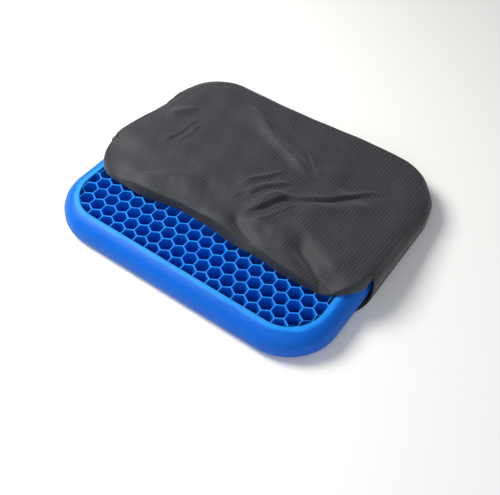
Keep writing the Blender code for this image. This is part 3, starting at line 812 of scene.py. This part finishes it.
def grip_dots(props):
    """One low dome for each place on a square grid over the upper cloth, seated along the cloth's normal."""
    pitch, radius, sides = props.dot_pitch, props.dot_radius, 6
    nx = int(COVER_HALF_X / pitch)
    across, back = np.arange(-nx, nx + 1) * pitch, np.arange(COVER_FRONT, COVER_BACK, pitch) + pitch / 2
    gx, gy = np.meshgrid(across, back)
    place = np.stack([gx.ravel(), gy.ravel()], axis=-1)
    front = front_wave(place[:, 0]) * smooth_step((COVER_FRONT + MOUTH_REACH - place[:, 1]) / MOUTH_REACH)
    place = place[room_to_edge(place[:, 0], place[:, 1] - front) > 2 * MM]
    x, y = place.T
    span = 0.6 * MM
    z = cover_height(x, y)
    slope_x = (cover_height(x + span, y) - z) / span
    slope_y = (cover_height(x, y + span) - z) / span
    normal = np.stack([-slope_x, -slope_y, np.ones_like(x)], axis=-1)
    normal /= np.linalg.norm(normal, axis=-1, keepdims=True)
    side = np.cross(normal, [0.0, 1.0, 0.0])
    side /= np.linalg.norm(side, axis=-1, keepdims=True)
    other = np.cross(normal, side)
    turn = np.arange(sides) * 2 * math.pi / sides
    rings = ((radius, -0.15 * MM), (radius * 0.92, 0.28 * MM), (radius * 0.01, 0.42 * MM))
    base = np.stack([x, y, z], axis=-1)
    dome = [
        base[:, None] + side[:, None] * (np.cos(turn) * reach)[:, None]
        + other[:, None] * (np.sin(turn) * reach)[:, None] + normal[:, None] * lift
        for reach, lift in rings
    ]
    points = np.stack(dome, axis=1).reshape(-1, 3)
    one = grid_quads(3, sides, closed=True)
    return points, repeated_quads(one, len(x), 3 * sides)


def wall_path(step):
    """Plan points and outward normals along the cover's wall, from the right front round the back to
    where the zip ends on the left."""
    straight_y = np.arange(WALL_FRONT, COVER_BACK - BACK_CORNER, step)
    turn = np.linspace(0, math.pi / 2, int(BACK_CORNER * math.pi / 2 / step))
    corner = np.array([COVER_HALF_X - BACK_CORNER, COVER_BACK - BACK_CORNER])
    right = np.stack([np.full_like(straight_y, COVER_HALF_X), straight_y], axis=-1)
    arc = corner + BACK_CORNER * np.stack([np.cos(turn), np.sin(turn)], axis=-1)
    back_x = np.arange(0, corner[0], step)
    back = np.stack([back_x[::-1], np.full_like(back_x, COVER_BACK)], axis=-1)
    quarter = np.concatenate([right, arc, back])
    mirrored = quarter[::-1][1:] * [-1, 1]
    path = np.concatenate([quarter, mirrored])
    path = path[~((path[:, 0] < 0) & (path[:, 1] < ZIP_END))]
    along = np.gradient(path, axis=0)
    along /= np.linalg.norm(along, axis=-1, keepdims=True)
    return path, np.stack([along[:, 1], -along[:, 0]], axis=-1)


def upper_edge(path, normal):
    """For each point of the cover's outline: its place, how far the edge lies in, the height up to
    which the side is upright and the height of the edge itself."""
    place, _, inset, upright = outline_place(path)
    edge = set_back(place - normal * inset[:, None])
    return place, inset, upright, cover_height(edge[:, 0], edge[:, 1])


def side_surface(path, normal, low, high, sunk, belly, seed, rows=16):
    """Cloth on the cover's side, between two heights. At each height it lies in from the outline as
    side_share says, sunk a little further, and bellies out between its edges with upright ripples.
    Gives points and the cloth's own flat coordinates."""
    _, inset, upright, top = upper_edge(path, normal)
    t = np.linspace(0, 1, rows)[:, None]
    run = np.concatenate([[0], np.cumsum(np.linalg.norm(np.diff(path, axis=0), axis=-1))])[None]
    z = low[None] + (high - low)[None] * t
    leaning = inset * side_share(np.clip((z - upright) / (top - upright), 0, 1))
    ripple = slow_waves(run, z * 0.35, seed, (31, 23, 17, 61), 0.6) + 1 + 0.3 * np.sin(run / (47 * MM))
    out = belly * ripple * np.sin(np.pi * t) - leaning - sunk
    plan = path[None] + normal[None] * out[..., None]
    points = np.concatenate([plan, z[..., None]], axis=-1)
    return points, np.stack(np.broadcast_arrays(run, z), axis=-1)


def seam_height(path, normal):
    """Height of the seam at each point of the cover's outline."""
    place, _, upright, top = upper_edge(path, normal)
    return seam_level(place, top, upright)


def strip_edge(y, side):
    """Height of a zip tape's outer edge at each y: even at the closed end, parting towards the mouth."""
    low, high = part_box("zip_tape_upper" if side > 0 else "zip_tape_lower")
    furthest = (high.z - ZIP_Z if side > 0 else ZIP_Z - low.z) - ROW_AND_TAPE
    share = smooth_step((SPREAD_START - y) / (SPREAD_START - WALL_FRONT))
    return ZIP_Z + side * (CHAIN_PARTING + (furthest - CHAIN_PARTING) * share + ROW_AND_TAPE)


# ---------------------------------------------------------------- operators


def keep(piece, body, slot, *replaced):
    """Lets a finished piece ride on its body and stand for CAD nodes. The slot argument is not used."""
    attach(piece, body)
    if replaced:
        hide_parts(*replaced)


class CUSHION_OT_gel_pad(bpy.types.Operator):
    """Builds the gel pad: its honeycomb and its rim"""

    bl_idname = "cushion.gel_pad"
    bl_label = "Gel pad"

    def execute(self, context):
        props = context.scene.gel_pad_settings
        gel = moulded_gel()
        points, quads = welded(*honeycomb(props))
        quads = np.concatenate([quads, outer_wall(points, quads)])
        rim_points, rim_quads = gel_rim(props)
        all_points = np.concatenate([points, rim_points])
        rim = facing_out(rim_points, rim_quads) + len(points)
        all_quads = np.concatenate([facing_out(points, quads), rim])
        x, y, z = all_points.T
        wave = slow_waves(x, y, 3, (70, 48, 33, 23), props.unevenness)
        high = smooth_step((z - PAD_LOW.z) / (PAD_TOP - PAD_LOW.z))
        all_points[:, 2] += wave * high
        depth = outline_distance(all_points[:, :2], PAD_HALF, PAD_CORNER, PAD_CORNER)
        outer = smooth_step(1 - depth / props.rim_width) * np.sin(math.pi * np.clip(high, 0, 1))
        bulge = slow_waves(x, y, 29, (36, 25, 18), props.ripple) * outer
        all_points[:, :2] += outward(all_points[:, :2], PAD_HALF, PAD_CORNER) * bulge[:, None]
        piece = add_surface("gel_cushion", all_points, all_quads, gel)
        keep(piece, "pad", "gel", "gel_pad")
        return {"FINISHED"}


class CUSHION_OT_top_cloth(bpy.types.Operator):
    """Builds the folded upper cloth of the cover with its turned-under mouth and its grip dots"""

    bl_idname = "cushion.top_cloth"
    bl_label = "Upper cloth"

    def execute(self, context):
        props = context.scene.cover_settings
        points, uv = top_cloth_surface()
        rows, columns = points.shape[:2]
        cloth = knitted_cloth("woven_polyester_dotted", props.colour, 1.6, 0.3)
        quads = facing_up(points.reshape(-1, 3), grid_quads(rows, columns))
        piece = add_surface("cover_top_cloth", points.reshape(-1, 3), quads, cloth, uv.reshape(-1, 2))
        solidify(piece, props.cloth)
        keep(piece, "cover", "dotted_cloth", "cover_top_panel", "mouth_cuff")
        dot_points, dot_quads = grip_dots(props)
        rubber = plain_finish("printed_silicone_dots", props.dot_colour, 0.45)
        dots = add_surface("grip_dots", dot_points, dot_quads, rubber)
        keep(dots, "cover", "dotted_cloth")
        return {"FINISHED"}


def facing_up(points, quads):
    """The quads, turned over if most of them face down."""
    a, b, c = (points[quads[:, i]] for i in range(3))
    return quads if np.cross(b - a, c - a)[:, 2].sum() > 0 else quads[:, ::-1]


class CUSHION_OT_walls(bpy.types.Operator):
    """Builds the cover's standing walls, the two cloth strips beside the zip and its two tapes"""

    bl_idname = "cushion.walls"
    bl_label = "Walls"

    def execute(self, context):
        props = context.scene.cover_settings
        # The walls' cloth colour carries painted shade as well as the mesh's own black
        mesh_cloth = knitted_cloth("knitted_polyester_mesh", props.shaded_wall_colour, 2.0, 0.8)
        path, normal = wall_path(3 * MM)
        foot = np.full(len(path), WALL_FOOT)
        walls = ("right_wall", "back_wall", "left_wall")
        seam = seam_height(path, normal) + SEAM_LAP
        self.cloth("cover_wall", path, normal, foot, seam, mesh_cloth, 1.2 * MM, 21, walls)
        y = np.arange(ZIP_END, WALL_FRONT - 1e-6, -3 * MM)
        side = np.stack([np.full_like(y, -COVER_HALF_X), y], axis=-1)
        out = np.tile([-1.0, 0.0], (len(y), 1))
        upper, lower = strip_edge(y, 1), strip_edge(y, -1)
        seam = seam_height(side, out) + SEAM_LAP
        foot = np.full_like(y, WALL_FOOT)
        tape = woven_tape()
        for name, low, high, finish, belly, seed, node in (
            ("left_upper_cloth", upper - TAPE_LAP, seam, mesh_cloth, 0.2 * MM, 31, "left_upper_strip"),
            ("left_lower_cloth", foot, lower + TAPE_LAP, mesh_cloth, 0.2 * MM, 41, "left_lower_strip"),
            ("zip_upper_tape_cloth", upper - TAPE_WIDTH, upper, tape, 0, 51, "zip_tape_upper"),
            ("zip_lower_tape_cloth", lower, lower + TAPE_WIDTH, tape, 0, 61, "zip_tape_lower"),
        ):
            self.cloth(name, side, out, low, high, finish, belly, seed, (node,), finish is tape)
        return {"FINISHED"}

    def cloth(self, name, path, normal, low, high, finish, belly, seed, replaced, is_tape=False):
        points, uv = side_surface(path, normal, low, high, (0.35 if is_tape else 1.0) * MM, belly, seed)
        quads = grid_quads(*points.shape[:2])
        piece = add_surface(name, points.reshape(-1, 3), quads, finish, uv.reshape(-1, 2))
        flip_inward_faces(piece, normal)
        solidify(piece, (0.7 if is_tape else 1.0) * MM)
        keep(piece, "cover", "zip_tape" if is_tape else "mesh_cloth", *replaced)


def flip_inward_faces(piece, normal):
    """Turns every face of an upright cloth over if its first face looks against the path's normal."""
    mesh = piece.data
    first = mesh.polygons[0].normal
    if first.x * normal[0, 0] + first.y * normal[0, 1] < 0:
        mesh.flip_normals()


class CUSHION_OT_bottom_cloth(bpy.types.Operator):
    """Builds the cloth under the pad and the lower lip of the mouth"""

    bl_idname = "cushion.bottom_cloth"
    bl_label = "Lower cloth"

    def execute(self, context):
        props = context.scene.cover_settings
        # The lining takes the same colour, painted shade included, as the walls
        mesh_cloth = knitted_cloth("knitted_polyester_lining", props.shaded_wall_colour, 2.0, 0.8)
        step = 6 * MM
        half = COVER_HALF - 0.6 * MM
        count = (half / step).astype(int)
        i, j = np.meshgrid(np.arange(-count[0], count[0] + 1), np.arange(-count[1], count[1] + 1))
        ray = np.stack([i / count[0], j / count[1]], axis=-1)
        share = np.maximum(np.abs(ray).max(axis=-1, keepdims=True), 1e-9)
        edge = into_outline(ray / share * half, half, MOUTH_CORNER, BACK_CORNER)
        plan = ray * half + (edge * share - ray * half) * share**4 + [0, COVER_MIDDLE_Y]
        z = BOTTOM_HIGH.z - 0.1 * MM + slow_waves(plan[..., 0], plan[..., 1], 9, (60, 40), 0.08 * MM)
        points = np.concatenate([plan, z[..., None]], axis=-1).reshape(-1, 3)
        quads = facing_up(points, grid_quads(*i.shape))
        piece = add_surface("cover_bottom_cloth", points, quads, mesh_cloth, points[:, :2])
        solidify(piece, 1.2 * MM)
        keep(piece, "cover", "mesh_cloth", "cover_bottom_panel")
        low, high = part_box("lower_lip")
        x, y = np.meshgrid(np.linspace(low.x, high.x, 80), np.linspace(low.y, high.y, 6))
        z = BOTTOM_HIGH.z - 0.1 * MM + slow_waves(x, y, 10, (60, 40), 0.08 * MM)
        points = np.stack([x, y, z], axis=-1).reshape(-1, 3)
        quads = facing_up(points, grid_quads(*x.shape))
        lip = add_surface("lower_lip_cloth", points, quads, mesh_cloth, points[:, :2])
        solidify(lip, 1.2 * MM)
        keep(lip, "cover", "mesh_cloth", "lower_lip")
        return {"FINISHED"}


class CUSHION_OT_zip(bpy.types.Operator):
    """Gives the zip's own pieces their finishes"""

    bl_idname = "cushion.zip"
    bl_label = "Zip"

    def execute(self, context):
        tape = bpy.data.materials["woven_polyester_tape"]
        teeth = plain_finish("moulded_nylon_teeth", linear("#202024"), 0.35)
        metal = plain_finish("electroplated_zinc", linear("#4A4A4E"), 0.3, metallic=1.0)
        for name in ("zip_edge_upper_front", "zip_edge_lower_front"):
            dress(name, tape)
        for name in ("zip_teeth_upper", "zip_teeth_lower", "zip_end_stop"):
            dress(name, teeth)
        for name in ("zip_slider", "zip_pull"):
            dress(name, metal)
        return {"FINISHED"}


def dress(node, finish):
    """Puts a finish in every material slot of a CAD node."""
    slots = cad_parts[node].material_slots
    for slot in slots:
        slot.material = finish


class CUSHION_OT_stage(bpy.types.Operator):
    """Sets out the pale floor, the soft lights and the camera"""

    bl_idname = "cushion.stage"
    bl_label = "Stage"

    def execute(self, context):
        props = context.scene.stage_settings
        size = 6.0
        corners = np.array([[-size, -size], [size, -size], [size, size], [-size, size]])
        points = np.column_stack([corners, np.full(4, -0.4 * MM)])
        finish = floor_finish(props.floor)
        floor = add_surface("floor", points, np.array([[0, 1, 2, 3]]), finish, smooth=False)
        world = bpy.data.worlds.new("studio")
        world.use_nodes = True
        background = world.node_tree.nodes["Background"]
        background.inputs["Color"].default_value = linear("#F4F6FA")
        background.inputs["Strength"].default_value = 0.34
        context.scene.world = world
        context.scene.view_settings.view_transform = "Standard"
        self.light("key_light", (-0.85, -0.25, 1.1), 0.6, props.key, "#FFFBF5")
        self.light("fill_light", (0.6, -1.3, 1.2), 1.2, props.key * 0.4, "#F2F6FF")
        self.camera(context, props)
        return {"FINISHED"}

    def light(self, name, place, size, power, colour):
        lamp = bpy.data.lights.new(name, "AREA")
        lamp.size = size
        lamp.energy = power
        lamp.color = linear(colour)[:3]
        made = bpy.data.objects.new(name, lamp)
        made.location = place
        made.rotation_euler = (Vector((0, 0.03, 0.03)) - Vector(place)).to_track_quat("-Z", "Y").to_euler()
        bpy.context.scene.collection.objects.link(made)

    def camera(self, context, props):
        """Looks down on the front right corner, with the slight tilt of a hand-held view."""
        lens = bpy.data.cameras.new("camera")
        lens.lens = props.lens * 1000
        lens.clip_start = 0.01
        made = bpy.data.objects.new("camera", lens)
        made.location = props.camera_place
        made.rotation_euler = Euler((math.pi / 2 - props.elevation, 0, props.azimuth), "XYZ")
        made.rotation_euler.rotate_axis("Z", props.roll)
        context.scene.collection.objects.link(made)
        context.scene.camera = made


def floor_finish(colour):
    """Matt painted board: pale, no pattern worth seeing, a trace of unevenness."""
    return plain_finish("painted_board", colour, 0.9, grain_mm=2, depth_mm=0.01, contrast=0.02)


class CUSHION_PT_panel(bpy.types.Panel):
    """Lists the steps that build the cushion"""

    bl_idname = "CUSHION_PT_panel"
    bl_label = "Cushion"
    bl_space_type = "VIEW_3D"
    bl_region_type = "UI"
    bl_category = "Cushion"

    def draw(self, context):
        for step in STEPS:
            self.layout.operator(step.bl_idname)


STEPS = (
    CUSHION_OT_stage,
    CUSHION_OT_gel_pad,
    CUSHION_OT_top_cloth,
    CUSHION_OT_walls,
    CUSHION_OT_bottom_cloth,
    CUSHION_OT_zip,
)
SETTINGS = (
    ("gel_pad_settings", GelPadSettings),
    ("cover_settings", CoverSettings),
    ("stage_settings", StageSettings),
)


def register():
    for name, group in SETTINGS:
        bpy.utils.register_class(group)
        setattr(bpy.types.Scene, name, PointerProperty(type=group))
    for step in STEPS:
        bpy.utils.register_class(step)
    bpy.utils.register_class(CUSHION_PT_panel)


def unregister():
    bpy.utils.unregister_class(CUSHION_PT_panel)
    for step in reversed(STEPS):
        bpy.utils.unregister_class(step)
    for name, group in reversed(SETTINGS):
        delattr(bpy.types.Scene, name)
        bpy.utils.unregister_class(group)


def main():
    register()
    for step in STEPS:
        family, name = step.bl_idname.split(".")
        getattr(getattr(bpy.ops, family), name)()


if __name__ == "__main__":
    main()
